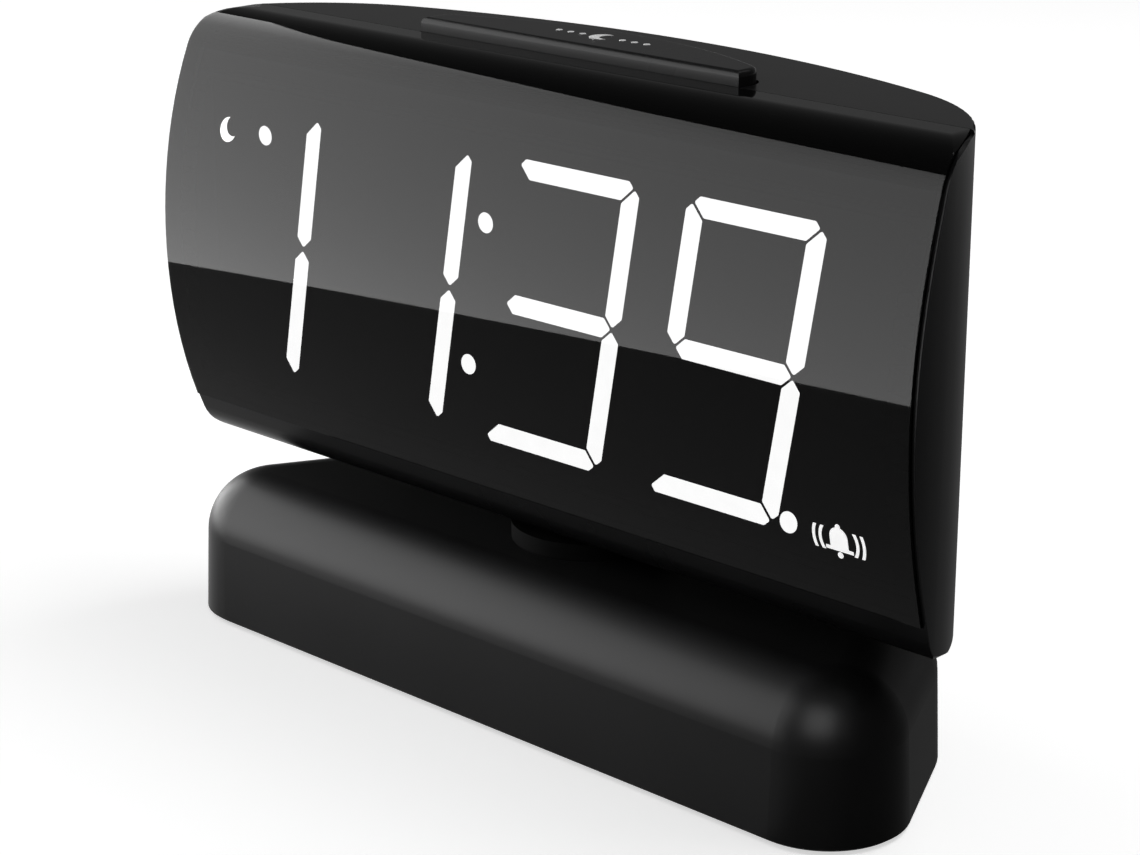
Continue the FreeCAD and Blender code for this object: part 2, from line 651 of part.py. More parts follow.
def make_swivel():
    """Neck with a flange inside the head, and below it the washer whose lug meets the base's stop ribs."""
    pivot = ("0", "pivot_y")
    pad_top = "head_floor + pad_thick"
    stem = rod("z", pivot, ("retainer_top", pad_top), "neck_radius")
    plate = block(("-flange_half", "flange_half"), ("pad_front + flange_inset", "pad_rear - flange_inset"),
                  (pad_top, f"{pad_top} + flange_plate"))
    pilot_end = "retainer_top + retainer_screw_long + 1"
    bore = rod("z", pivot, (pilot_end, f"{pad_top} + flange_plate"), "neck_bore")
    pilot = rod("z", pivot, ("retainer_top", pilot_end), "screw_radius")
    rows = ("neck_screw_front", "neck_screw_rear")
    screws = [(f"{sign} * neck_screw_x", y) for y in rows for sign in (1, -1)]
    holes = [rod("z", at, (pad_top, f"{pad_top} + flange_plate"), "screw_radius + screw_clear") for at in screws]
    node(cut(fuse([stem, plate]), [bore, pilot] + holes, "pivot_neck"), "pivot_neck")
    seat = f"{pad_top} + flange_plate"
    node(group([screw("z", at, seat, "head_floor - neck_screw_sink", 1) for at in screws], "neck_screws"),
         "neck_screws")
    disc = rod("z", pivot, ("retainer_low", "retainer_top"), "retainer_radius")
    lug = block(("-lug_half", "lug_half"), ("pivot_y + neck_radius", "pivot_y + lug_reach"),
                ("retainer_low", "retainer_top"))
    hole = rod("z", pivot, ("retainer_low", "retainer_top"), "screw_radius")
    node(cut(fuse([disc, lug]), [hole], "pivot_retainer"), "pivot_retainer")
    node(screw("z", pivot, "retainer_low", "retainer_top + retainer_screw_long", -1), "retainer_screw")


POSTS = [(f"{sign} * post_x", z) for z in ("post_low", "post_high") for sign in (1, -1)]


def bar_plan(grow, low, high):
    """Snooze bar seen from above: straight front, bowed back with rounded corners."""
    half = size("bar_half") + grow
    front = size("bar_front") - grow
    middle = size("bar_front + bar_depth") + grow
    side = size("bar_front + bar_end") + grow
    points = [Vector(-half, front, 0), Vector(half, front, 0), Vector(half, side, 0), Vector(-half, side, 0)]
    edges = [
        Part.LineSegment(points[0], points[1]).toShape(),
        Part.LineSegment(points[1], points[2]).toShape(),
        Part.Arc(points[2], Vector(0, middle, 0), points[3]).toShape(),
        Part.LineSegment(points[3], points[0]).toShape(),
    ]
    solid = Part.Face(Part.Wire(edges)).extrude(Vector(0, 0, high - low))
    rear = [e for e in solid.Edges if abs(e.BoundBox.YMin - side) < 0.01 and e.BoundBox.YLength < 0.01
            and e.BoundBox.ZLength > 0.9 * (high - low)]
    solid = solid.makeFillet(size("bar_corner") + grow, rear)
    solid.translate(Vector(-size("bar_aside"), 0, low))
    return solid


def make_shell():
    """Rear shell: deck, ends, back, underside and the rim round the lens, in one moulding."""
    wall = size("head_wall")
    full = feature(head_outline(0, 0, size("edge_round")), "head_full")
    across = ("-head_width", "head_width")
    rear_part = block(across, ("lens_back", "head_width"), ("0", "head_width"))
    recessed = feature(head_outline(size("rim_recess"), -1, cornered=False))
    outline = overlap([full, fuse([rear_part, recessed])])
    cavity = feature(head_outline(wall, wall))
    # The opening is as wide as the frame, and steps out in front to the lens's rim.
    step = cut(feature(head_outline(-1, size("lens_rim"))), [feature(head_outline(size("lens_thick"), -2))])
    opening = overlap([
        fuse([feature(head_outline(-1, wall)), step]),
        block(across, ("-head_width", "lens_back + lens_gap"), ("lens_foot - lens_gap", "head_width")),
    ])
    recess = block(("-recess_half", "recess_half"), ("recess_y", "head_width"), ("recess_low", "recess_high"))
    recess_back = block(("-recess_half - recess_wall", "recess_half + recess_wall"),
                        ("control_wall", "head_width"),
                        ("recess_low - recess_wall", "recess_high + recess_wall"))
    skin = cut(cut(outline, [recess]), [cut(cavity, [recess_back]), opening])

    deck_low = "head_top - head_wall"
    shelf_low = "head_top - lens_thick - shelf_thick"
    shelf = [block(("-window_half", "window_half"), ("post_end", "lens_back"),
                   (shelf_low, "head_top - lens_thick"))]
    arms = [block(pair, ("post_end", "lens_back + head_wall"), (shelf_low, deck_low))
            for pair in (("bar_half + bar_corner", "post_x"), ("-post_x", "-bar_half - bar_corner"))]
    bosses = [rod("y", at, ("post_end", "head_rear"), "boss_radius") for at in POSTS]
    pad = block(("-pad_half", "pad_half"), ("pad_front", "pad_rear"), ("head_floor", "head_floor + pad_thick"))
    snooze_posts = [(f"{sign} * snooze_post_x", "bar_leg_y") for sign in (1, -1)]
    hangers = [rod("z", at, ("snooze_board_top", "head_top - head_wall / 2"), "boss_radius - 0.5")
               for at in snooze_posts]
    inside = overlap([fuse(shelf + arms + bosses + hangers), full])
    rails = []
    for sign in (1, -1):
        edge = f"cell_z + {sign} * (door_high_half + door_gap)"
        outer = f"cell_z + {sign} * (door_high_half + door_gap + rail_wide)"
        lip = f"cell_z + {sign} * (door_high_half + door_gap - rail_lip)"
        top = "recess_y + door_thick + 2 * door_gap"
        x = ("cell_x - door_half", "cell_x + door_half")
        order = lambda a, b: (a, b) if sign > 0 else (b, a)
        rails.append(block(x, ("control_wall", top), order(edge, outer)))
        rails.append(block(x, (top, f"{top} + rail_lip"), order(lip, outer)))
    stop = block(("cell_x - door_half - door_gap - rail_wide", "cell_x - door_half - door_gap"),
                 ("control_wall", "recess_y + door_thick"),
                 ("cell_z - door_high_half", "cell_z + door_high_half"))

    holes = []
    for at in POSTS:
        holes.append(rod("y", at, ("post_end - 1", "head_rear"), "screw_radius + screw_clear"))
        holes.append(rod("y", at, ("boss_seat", "head_rear"), "screw_head + head_clear"))
    pivot = ("0", "pivot_y")
    holes.append(rod("z", pivot, ("base_top", "head_floor + pad_thick"), "neck_radius"))
    neck_pilot = ("head_floor - neck_screw_sink", "head_floor + pad_thick")
    for y in ("neck_screw_front", "neck_screw_rear"):
        for sign in (1, -1):
            holes.append(rod("z", (f"{sign} * neck_screw_x", y), neck_pilot, "screw_radius"))
    for at in snooze_posts:
        holes.append(rod("z", at, ("snooze_board_z", "snooze_board_z + snooze_screw_long + 1"), "screw_radius"))
    deck_low, deck_high = size("head_top - 2 * head_wall"), size("head_top + head_wall")
    holes.append(feature(bar_plan(size("bar_clear"), deck_low, deck_high)))
    for count in range(4):
        at = (f"button_x + {count} * button_pitch", "button_z")
        holes.append(rod("y", at, ("button_board_y", "head_rear"), "button_radius + button_clear"))
    for count in range(2):
        left = f"slider_x + {count} * slider_pitch - slider_half - button_clear"
        right = f"slider_x + {count} * slider_pitch + slider_travel + slider_half + button_clear"
        tall = "(slider_high_half + button_clear)"
        holes.append(block((left, right), ("button_board_y", "head_rear"),
                           (f"slider_z - {tall}", f"slider_z + {tall}")))
    holes.append(rod("y", ("cell_x", "cell_z"), ("holder_front", "head_rear"), "cell_radius + cell_clear"))
    holes.append(rod("y", ("jack_x", "jack_z"), ("holder_front", "head_rear"), "jack_nose"))
    for count in range(-2, 3):
        middle = f"buzzer_x + {count} * sound_pitch"
        holes.append(block((f"{middle} - sound_slot / 2", f"{middle} + sound_slot / 2"),
                           ("holder_front", "head_rear"),
                           ("buzzer_z - sound_half", "buzzer_z + sound_half")))
    node(cut(fuse([skin, inside, pad, stop] + rails), holes, "rear_shell"), "rear_shell")
    screws = [screw("y", at, "boss_seat", "post_end - shell_screw_bite", 1) for at in POSTS]
    node(group(screws, "shell_screws"), "shell_screws")


def make_front():
    """Lens over the front and round onto the deck, the frame that carries it, and the print on it."""
    across = ("-head_width", "head_width")
    outer = feature(head_outline(0, size("lens_rim + lens_gap")))
    inner = feature(head_outline(size("lens_thick"), -1))
    reach = block(across, ("-head_width", "lens_back"), ("lens_foot", "head_width"))
    node(overlap([cut(outer, [inner]), reach], "lens"), "lens")
    body = feature(head_outline(size("lens_thick"), size("head_wall + lens_gap")))
    ring = overlap([body, block(across, ("-head_width", "frame_back"), ("lens_foot", "head_width"))])
    window = block(("-window_half", "window_half"), ("-head_width", "0"), ("window_low", "window_high"))
    posts = [rod("y", at, ("frame_back - 1", "post_end"), "post_radius") for at in POSTS]
    pilots = [rod("y", at, ("post_end - shell_screw_bite - 2", "post_end"), "screw_radius") for at in POSTS]
    frame = fuse([cut(ring, [window]), overlap([fuse(posts), body])])
    node(cut(frame, pilots, "front_frame"), "front_frame")
    skin = head_outline(-size("print_thick"), -1).cut(head_outline(0, -2))
    prints = []
    for mark in (moon_mark(), bell_mark()):
        prints.append(feature(skin.common(mark)))
    node(group(prints, "indicator_prints"), "indicator_prints")


def disc_prism(x, z, radius):
    """Cylinder along Y through the front half of the head."""
    deep = size("head_width")
    return Part.makeCylinder(radius, deep, Vector(x, -deep, z), Vector(0, 1, 0))


def bar_prism(x, z, width, height):
    """Box along Y through the front half of the head; x, z is its lower middle."""
    deep = size("head_width")
    return Part.makeBox(width, deep, height, Vector(x - width / 2, -deep, z))


def moon_mark():
    """Crescent beside the upper dot."""
    x = size("night_mark_side - window_half")
    z = size("window_high - night_mark_drop")
    unit = size("dot_radius") / 1.55
    return disc_prism(x, z, 1.9 * unit).cut(disc_prism(x + 1.1 * unit, z + 0.7 * unit, 1.6 * unit))


def bell_mark():
    """Ringing bell beside the lower dot, drawn in units of its own."""
    x = size("window_half - alarm_mark_side")
    z = size("window_low + alarm_mark_rise")
    unit = size("dot_radius") / 1.55
    dome = disc_prism(x, z + 0.5 * unit, 1.5 * unit).fuse(bar_prism(x, z - 1.1 * unit, 3 * unit, 1.6 * unit))
    brim = bar_prism(x, z - 1.5 * unit, 4.6 * unit, 0.5 * unit)
    clapper = disc_prism(x, z - 2.1 * unit, 0.45 * unit)
    loop = disc_prism(x, z + 2.1 * unit, 0.4 * unit)
    sides = bar_prism(x, z - 1.7 * unit, 12 * unit, 3.4 * unit)
    rings = []
    for outer in (3.4, 4.5):
        ring = disc_prism(x, z, outer * unit).cut(disc_prism(x, z, (outer - 0.45) * unit))
        rings.append(ring.common(sides))
    return Part.makeCompound([dome.fuse([brim, clapper, loop])] + rings)


COLON = [(f"digit_x + 1.5 * digit_pitch + {rise} * tan(digit_slant)", f"window_middle + {rise}")
         for rise in ("colon_half", "(-colon_half)")]
INDICATORS = [("night_dot_side - window_half", "window_high - night_dot_drop"),
              ("last_foot_x + alarm_dot_side", "window_low + alarm_dot_rise")]
LIT = ["bc", "bc", "abcdg", "abcdfg"]
FITTED = ["bc", "abcdefg", "abcdefg", "abcdefg"]


def stroke_outline(letter):
    """Corner points of one stroke of a numeral about its own centre, upright."""
    wide = size("digit_wide") / 2
    high = size("digit_high") / 2
    thick = size("level_stroke" if letter in "adg" else "stroke") / 2
    back = size("stroke_gap") * math.sqrt(0.5)
    tip = 0.4 * thick
    # Each stroke: its middle, direction, outward side, half length, and whether its low and high ends are
    # corners, mitred inside and cut short outside; the ends that meet the middle stroke are pointed.
    ends = {
        "a": ((0, high), (1, 0), (0, 1), wide, True, True),
        "d": ((0, -high), (1, 0), (0, -1), wide, True, True),
        "g": ((0, 0), (1, 0), (0, 1), wide, False, False),
        "b": ((wide, high / 2), (0, 1), (1, 0), high / 2, False, True),
        "c": ((wide, -high / 2), (0, 1), (1, 0), high / 2, True, False),
        "f": ((-wide, high / 2), (0, 1), (-1, 0), high / 2, False, True),
        "e": ((-wide, -high / 2), (0, 1), (-1, 0), high / 2, True, False),
    }
    middle, along, out, half, low_corner, high_corner = ends[letter]
    points = []
    for sign, is_corner in ((-1, low_corner), (1, high_corner)):
        if is_corner:
            run = [(half - thick, -thick), (half + tip, tip), (half + 2 * tip - thick, thick)]
        else:
            run = [(half - thick, -thick), (half, 0), (half - thick, thick)]
        run = [(sign * (length - back), across) for length, across in run]
        points += run if sign < 0 else run[::-1]
    return [(middle[0] + along[0] * length + out[0] * across,
             middle[1] + along[1] * length + out[1] * across) for length, across in points]


def strokes(letters, grow, front, back):
    """Prisms of the named strokes of each numeral, slanted; grow widens them on every side."""
    lean = math.tan(math.radians(size("digit_slant")))
    solids = []
    for place, wanted in enumerate(letters):
        x0 = size(f"digit_x + {place} * digit_pitch")
        z0 = size("digit_z")
        for letter in wanted:
            points = [Vector(x0 + x + z * lean, front, z0 + z) for x, z in stroke_outline(letter)]
            outline = Part.Face(Part.makePolygon(points + points[:1]))
            if grow:
                outline = outline.makeOffset2D(grow, 2)
            solid = outline.extrude(Vector(0, back - front, 0))
            long = [e for e in solid.Edges if e.BoundBox.YLength > 0.9 * (back - front)]
            solids.append(solid.makeFillet(size("stroke_round"), long))
    return solids


def make_display():
    """Mask with an opening for each stroke and dot, diffusers in it, and the lit board behind."""
    front = size("mask_front")
    back = size("mask_back")
    clear = size("diffuser_gap")
    mask = block(("-window_half + mask_gap", "window_half - mask_gap"), ("mask_front", "mask_back"),
                 ("window_low + mask_gap", "window_high - mask_gap"))
    dots = [rod("y", at, ("mask_front", "mask_back"), "dot_radius") for at in COLON + INDICATORS]
    openings = feature(Part.makeCompound(strokes(FITTED, clear, front, back)))
    node(cut(cut(mask, [openings]), dots, "display_mask"), "display_mask")
    unlit = [[letter for letter in fitted if letter not in lit] for fitted, lit in zip(FITTED, LIT)]
    deep = size("mask_front + diffuser_thick")
    node(feature(Part.makeCompound(strokes(LIT, 0, front, deep))), "lit_segments")
    node(feature(Part.makeCompound(strokes(unlit, 0, front, deep))), "unlit_segments")
    for name, places in (("colon_dots", COLON), ("indicator_dots", INDICATORS)):
        caps = [rod("y", at, ("mask_front", "mask_front + diffuser_thick"), "dot_radius") for at in places]
        node(group(caps, name), name)
    chips = []
    lean = math.tan(math.radians(size("digit_slant")))
    for place, wanted in enumerate(FITTED):
        for letter in wanted:
            outline = stroke_outline(letter)
            x = sum(point[0] for point in outline) / len(outline)
            z = sum(point[1] for point in outline) / len(outline)
            at = (f"digit_x + {place} * digit_pitch + {x + z * lean}", f"digit_z + {z}")
            chips.append(at)
    leds = []
    for x, z in chips + COLON + INDICATORS:
        leds.append(block((f"{x} - led_half", f"{x} + led_half"), ("mask_back - led_thick", "mask_back"),
                          (f"{z} - led_half", f"{z} + led_half")))
    node(group(leds, "display_leds"), "display_leds")
    node(block(("-window_half + mask_gap", "window_half - mask_gap"), ("mask_back", "mask_back + board_thick"),
               ("window_low + mask_gap", "window_high - mask_gap"), "display_board"), "display_board")


def make_electronics():
    """Main board with its parts, the button board, the snooze board and the cell compartment."""
    near = "mask_back + board_thick"
    corners = [(f"{sign} * (main_board_half - spacer_inset)", z) for sign in (1, -1)
               for z in ("main_board_low + spacer_inset", "main_board_high - spacer_inset")]
    spacers = [rod("y", at, (near, "main_board_y"), "spacer_radius") for at in corners]
    corners = [(x, z) for x in ("button_board_left + leg_inset", "button_board_right - leg_inset")
               for z in ("button_board_low + leg_inset", "button_board_high - leg_inset")]
    legs = [rod("y", at, ("board_back", "button_board_y"), "spacer_radius - 0.5") for at in corners]
    node(group(spacers + legs, "board_spacers"), "board_spacers")
    node(block(("-main_board_half", "main_board_half"), ("main_board_y", "board_back"),
               ("main_board_low", "main_board_high"), "main_board"), "main_board")
    header_top = "main_board_high - header_drop"
    node(block(("-header_half", "header_half"), (near, "main_board_y"),
               (f"{header_top} - header_high", header_top), "board_header"), "board_header")
    for name, half, high_half in (("clock_chip", "clock_chip_half", "clock_chip_half"),
                                  ("power_chip", "power_chip_half", "power_chip_high_half")):
        z = f"(main_board_low + {name}_rise)"
        node(block((f"{name}_x - {half}", f"{name}_x + {half}"), ("board_back", f"board_back + {name}_thick"),
                   (f"{z} - {high_half}", f"{z} + {high_half}"), name), name)
    can_low = "main_board_low + crystal_rise"
    node(rod("z", ("crystal_x", "board_back + crystal_radius"), (can_low, f"{can_low} + crystal_long"),
             "crystal_radius", "crystal_can"), "crystal_can")
    cans = [rod("y", ("capacitor_x", f"main_board_low + capacitor_rise + {count} * capacitor_pitch"),
                ("board_back", "board_back + capacitor_high"), "capacitor_radius") for count in range(2)]
    node(group(cans, "smoothing_capacitors"), "smoothing_capacitors")
    node(rod("y", ("buzzer_x", "buzzer_z"), ("board_back", "board_back + buzzer_thick"), "buzzer_radius"),
         "buzzer")

    box = block(("jack_x - jack_half", "jack_x + jack_half"), ("board_back", "control_wall"),
                ("jack_z - jack_half", "jack_z + jack_half"))
    nose = rod("y", ("jack_x", "jack_z"), ("control_wall", "recess_y"), "jack_nose")
    bore = rod("y", ("jack_x", "jack_z"), ("recess_y - jack_depth", "recess_y"), "jack_bore")
    node(cut(fuse([box, nose]), [bore], "power_jack"), "power_jack")
    node(rod("y", ("jack_x", "jack_z"), ("recess_y - jack_depth", "recess_y - jack_pin_sunk"),
             "jack_pin_radius", "jack_pin"), "jack_pin")

    node(block(("button_board_left", "button_board_right"), ("button_board_y", "button_board_y + board_thick"),
               ("button_board_low", "button_board_high"), "button_board"), "button_board")
    flange_low = "control_wall - flange_gap - flange_thick"
    board_face = "button_board_y + board_thick"
    switches = []
    for count in range(4):
        x = f"button_x + {count} * button_pitch"
        tip = f"{flange_low} - button_travel - switch_gap"
        body = block((f"{x} - switch_half", f"{x} + switch_half"), (board_face, f"{tip} - switch_tip"),
                     ("button_z - switch_half", "button_z + switch_half"))
        switches.append(fuse([body, rod("y", (x, "button_z"), (board_face, tip), "switch_stem")]))
    node(group(switches, "button_switches"), "button_switches")
    for count, name in enumerate(("alarm_switch_body", "dimmer_switch_body")):
        middle = f"slider_x + {count} * slider_pitch + slider_travel / 2"
        node(block((f"{middle} - slider_body_half", f"{middle} + slider_body_half"),
                   (board_face, f"{flange_low} - switch_gap"),
                   ("slider_z - slider_body_high_half", "slider_z + slider_body_high_half"), name), name)

    places = [(f"{sign} * snooze_post_x", "bar_leg_y") for sign in (1, -1)]
    board = block(("-snooze_board_half", "snooze_board_half"),
                  ("bar_leg_y - snooze_board_deep", "bar_leg_y + snooze_board_deep"),
                  ("snooze_board_z", "snooze_board_top"))
    holes = [rod("z", at, ("snooze_board_z", "snooze_board_top"), "screw_radius + screw_clear") for at in places]
    node(cut(board, holes, "snooze_board"), "snooze_board")
    screws = [screw("z", at, "snooze_board_z", "snooze_board_z + snooze_screw_long", -1) for at in places]
    node(group(screws, "snooze_board_screws"), "snooze_board_screws")
    switches = []
    for sign in (1, -1):
        x = f"{sign} * bar_leg_x"
        body = block((f"{x} - snooze_switch_half", f"{x} + snooze_switch_half"),
                     ("bar_leg_y - snooze_switch_half", "bar_leg_y + snooze_switch_half"),
                     ("snooze_board_top", "snooze_board_top + snooze_switch_high"))
        switches.append(fuse([body, rod("z", (x, "bar_leg_y"), ("snooze_board_top", "snooze_tip"),
                                        "snooze_stem_radius")]))
    node(group(switches, "snooze_switches"), "snooze_switches")
    node(feature(Part.makeCompound([spring(sign) for sign in (1, -1)])), "snooze_springs")

    holder = block(("cell_x - holder_half", "cell_x + holder_half"), ("holder_front", "control_wall"),
                   ("cell_z - holder_half", "cell_z + holder_half"))
    seat = "control_wall - cell_thick"
    deep = (f"{seat} - contact_thick", "control_wall")
    well = rod("y", ("cell_x", "cell_z"), deep, "cell_radius + cell_clear")
    node(cut(holder, [well], "cell_holder"), "cell_holder")
    node(rod("y", ("cell_x", "cell_z"), (seat, "control_wall"), "cell_radius", "backup_cell"), "backup_cell")
    node(rod("y", ("cell_x", "cell_z"), (f"{seat} - contact_thick", seat), "contact_radius", "cell_contact"),
         "cell_contact")
    pins = [block((f"{x} - holder_pin_half", f"{x} + holder_pin_half"), ("board_back", "holder_front"),
                  ("cell_z - holder_pin_half", "cell_z + holder_pin_half"))
            for x in ("cell_x - holder_half + holder_pin_inset", "cell_x + holder_half - holder_pin_inset")]
    node(group(pins, "cell_holder_pins"), "cell_holder_pins")


def spring(sign):
    """Compression spring between the snooze board and the bar, with flat closed ends."""
    low = size("snooze_board_top")
    high = size("bar_low - bar_tab_thick")
    wire = size("spring_wire")
    radius = size("spring_radius")
    helix = Part.makeHelix((high - low - 2 * wire) / size("spring_turns"), high - low - 2 * wire, radius)
    start = Part.Wire(Part.makeCircle(wire, Vector(radius, 0, 0), Vector(0, 1, 0)))
    coil = Part.Wire(helix).makePipeShell([start], True, True)
    coil.translate(Vector(size(f"{sign} * spring_x"), size("bar_leg_y"), low + wire))
    return coil


def make_snooze_bar():
    low = size("bar_low")
    cap = bar_plan(0, low, size("bar_top"))
    upper = [e for e in cap.Edges if e.BoundBox.ZMin > size("bar_top") - 0.01]
    cap = cap.makeFillet(size("bar_round"), upper)
    wide = bar_plan(size("bar_tab"), low - size("bar_tab_thick"), low)
    rearward = block(("-head_width", "head_width"), ("bar_front", "head_width"), ("0", "head_width"))
    tabs = overlap([feature(wide), rearward])
    legs = [rod("z", (f"{sign} * bar_leg_x", "bar_leg_y"), ("snooze_tip + bar_travel + switch_gap", "bar_low"),
                "bar_leg_radius") for sign in (1, -1)]
    node(fuse([feature(cap), tabs] + legs, "snooze_bar"), "snooze_bar")
    print_at = Vector(size("night_print_x"), size("night_print_y"), size("bar_top"))
    thick = size("print_thick")
    radius = size("night_print_radius")
    moon = Part.makeCylinder(radius, thick, print_at)
    bite = Part.makeCylinder(0.85 * radius, thick, print_at + Vector(0.6 * radius, 0.25 * radius, 0))
    dots = []
    for side in (1, -1):
        for count in range(3):
            step = side * size(f"night_print_first + {count} * night_print_pitch")
            dots.append(Part.makeCylinder(size("night_print_dot"), thick, print_at + Vector(step, 0, 0)))
    node(feature(Part.makeCompound([moon.cut(bite)] + dots)), "snooze_print")


def make_controls():
    """Rear buttons, the two slide switches' knobs and the sliding cell door."""
    flange_high = "control_wall - flange_gap"
    flange_low = f"{flange_high} - flange_thick"
    out = "recess_y + button_proud"
    for count, name in enumerate(("time_button", "alarm_button", "hour_button", "minute_button")):
        at = (f"button_x + {count} * button_pitch", "button_z")
        cap = rounded(rod("y", at, (flange_low, out), "button_radius"), "button_round", behind(out))
        rim = rod("y", at, (flange_low, flange_high), "button_radius + button_flange")
        node(fuse([cap, rim], name), name)
    for count, name in enumerate(("alarm_slider", "dimmer_slider")):
        x = f"slider_x + {count} * slider_pitch"
        knob = block((f"{x} - slider_half", f"{x} + slider_half"), (flange_low, out),
                     ("slider_z - slider_high_half", "slider_z + slider_high_half"))
        reach = "(slider_half + slider_travel + slider_lap)"
        tall = "(slider_high_half + slider_flange)"
        wide = block((f"{x} - {reach}", f"{x} + {reach}"), (flange_low, flange_high),
                     (f"slider_z - {tall}", f"slider_z + {tall}"))
        grips = []
        for step in (-1, 0, 1):
            middle = f"{x} + {step} * grip_pitch"
            grips.append(block((f"{middle} - grip_wide / 2", f"{middle} + grip_wide / 2"),
                               (f"{out} - grip_deep", out),
                               ("slider_z - slider_high_half", "slider_z + slider_high_half")))
        node(cut(fuse([rounded(knob, "edge_break", behind(out)), wide]), grips, name), name)
    low = "recess_y + door_gap"
    face = f"{low} + door_thick"
    door = block(("cell_x - door_half", "cell_x + door_half"), (low, face),
                 ("cell_z - door_high_half", "cell_z + door_high_half"))
    grooves = []
    for count in range(3):
        x = f"cell_x + door_half - door_groove_start - {count} * door_groove_pitch"
        grooves.append(block((f"{x} - door_groove / 2", f"{x} + door_groove / 2"),
                             (f"{face} - door_groove_deep", face),
                             ("cell_z - door_groove_half", "cell_z + door_groove_half")))
    node(cut(rounded(door, "edge_break", behind(face)), grooves, "battery_door"), "battery_door")


def check_and_write():
    doc.recompute()
    for thing in doc.Objects:
        if {"Invalid", "Error"} & set(thing.State):
            raise RuntimeError(f"{thing.Label} did not build: {thing.State}")
    os.makedirs("parts", exist_ok=True)
    for thing in nodes:
        shape = thing.Shape
        if shape.isNull() or not shape.isValid() or not shape.Solids:
            raise RuntimeError(f"{thing.Label} has no valid solid")
        print(f"{thing.Label}: {len(shape.Solids)} solid(s), {shape.Volume:.1f} mm3, {shape.BoundBox}")
    for thing in nodes:
        thing.Shape.exportStep(os.path.join("parts", f"{thing.Label}.step"))


make_base()
make_swivel()
make_shell()
make_front()
make_display()
make_electronics()
make_snooze_bar()
make_controls()
check_and_write()
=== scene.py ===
# Plug-in LED alarm clock: a display head with a curved smoked lens turns on a neck above a moulded, weighted base.
# The sections follow the clock as it is put together, from the floor up; every length is in metres.
import math

import bpy
from mathutils import Matrix, Vector


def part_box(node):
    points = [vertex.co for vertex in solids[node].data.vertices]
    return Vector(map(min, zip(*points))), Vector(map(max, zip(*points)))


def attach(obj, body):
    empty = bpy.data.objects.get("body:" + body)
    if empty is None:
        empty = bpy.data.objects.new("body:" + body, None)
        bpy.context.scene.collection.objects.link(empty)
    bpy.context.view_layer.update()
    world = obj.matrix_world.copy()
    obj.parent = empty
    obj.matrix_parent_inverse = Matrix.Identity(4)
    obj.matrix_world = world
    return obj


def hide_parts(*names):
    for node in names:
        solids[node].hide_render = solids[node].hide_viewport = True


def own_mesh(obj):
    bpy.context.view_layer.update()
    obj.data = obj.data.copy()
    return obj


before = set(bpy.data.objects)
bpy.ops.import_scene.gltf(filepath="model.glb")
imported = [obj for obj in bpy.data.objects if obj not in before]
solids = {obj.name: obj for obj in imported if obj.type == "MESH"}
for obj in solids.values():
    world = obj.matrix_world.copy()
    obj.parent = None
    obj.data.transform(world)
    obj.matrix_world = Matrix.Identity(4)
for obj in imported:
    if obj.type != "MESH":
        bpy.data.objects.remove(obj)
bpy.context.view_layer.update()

# ---------------------------------------------------------------- table and light
# A plain pale table that runs on into a pale room, with one wide soft lamp above and one at the left. The camera
# stands to the clock's right and a little above it, with a long lens, at about 40 cm.
scene = bpy.context.scene
scene.view_settings.view_transform = "Standard"
white = (1, 1, 1, 1)

aim_point = Vector((0.0165312, -0.01937, 0.0493259))
eye_point = Vector((0.281321, -0.292310, 0.171980))
camera_data = bpy.data.cameras.new("camera")
camera_data.sensor_width = 36.0
camera_data.lens = 89.395
camera_data.clip_start = 0.01
camera = bpy.data.objects.new("camera", camera_data)
camera.location = eye_point
camera.rotation_euler = (aim_point - eye_point).to_track_quat("-Z", "Y").to_euler()
scene.collection.objects.link(camera)
scene.camera = camera


def node_tree_of(owner):
    """Empties a material's or world's node tree and returns its nodes and links."""
    owner.use_nodes = True
    owner.node_tree.nodes.clear()
    return owner.node_tree.nodes, owner.node_tree.links


def show(nodes, links, shader):
    """Makes a shader the one that its material shows."""
    links.new(shader.outputs[0], nodes.new("ShaderNodeOutputMaterial").inputs["Surface"])


room_level = 0.2
room = bpy.data.worlds.new("pale_room")
scene.world = room
nodes, links = node_tree_of(room)
soft_fill = nodes.new("ShaderNodeBackground")
soft_fill.inputs["Color"].default_value = white
soft_fill.inputs["Strength"].default_value = room_level
links.new(soft_fill.outputs[0], nodes.new("ShaderNodeOutputWorld").inputs["Surface"])

table_edge = 6.0
table_tone = 0.8
table_lift = 0.58
table_mesh = bpy.data.meshes.new("table")
table_mesh.from_pydata(
    [(-table_edge, -table_edge, 0), (table_edge, -table_edge, 0), (table_edge, table_edge, 0),
     (-table_edge, table_edge, 0)], [], [(0, 1, 2, 3)])
table = bpy.data.objects.new("table", table_mesh)
scene.collection.objects.link(table)
table_white = bpy.data.materials.new("table_white")
nodes, links = node_tree_of(table_white)
paint = nodes.new("ShaderNodeBsdfDiffuse")
paint.inputs["Color"].default_value = (table_tone, table_tone, table_tone, 1)
lift = nodes.new("ShaderNodeEmission")
lift.inputs["Color"].default_value = white
path = nodes.new("ShaderNodeLightPath")
seen = path.outputs["Is Camera Ray"]
for ray in ("Is Glossy Ray", "Is Transmission Ray"):
    either = nodes.new("ShaderNodeMath")
    either.operation = "MAXIMUM"
    links.new(seen, either.inputs[0])
    links.new(path.outputs[ray], either.inputs[1])
    seen = either.outputs[0]
lift_level = nodes.new("ShaderNodeMath")
lift_level.operation = "MULTIPLY"
lift_level.inputs[1].default_value = table_lift
links.new(seen, lift_level.inputs[0])
links.new(lift_level.outputs[0], lift.inputs["Strength"])
both = nodes.new("ShaderNodeAddShader")
links.new(paint.outputs[0], both.inputs[0])
links.new(lift.outputs[0], both.inputs[1])
show(nodes, links, both)
table_mesh.materials.append(table_white)


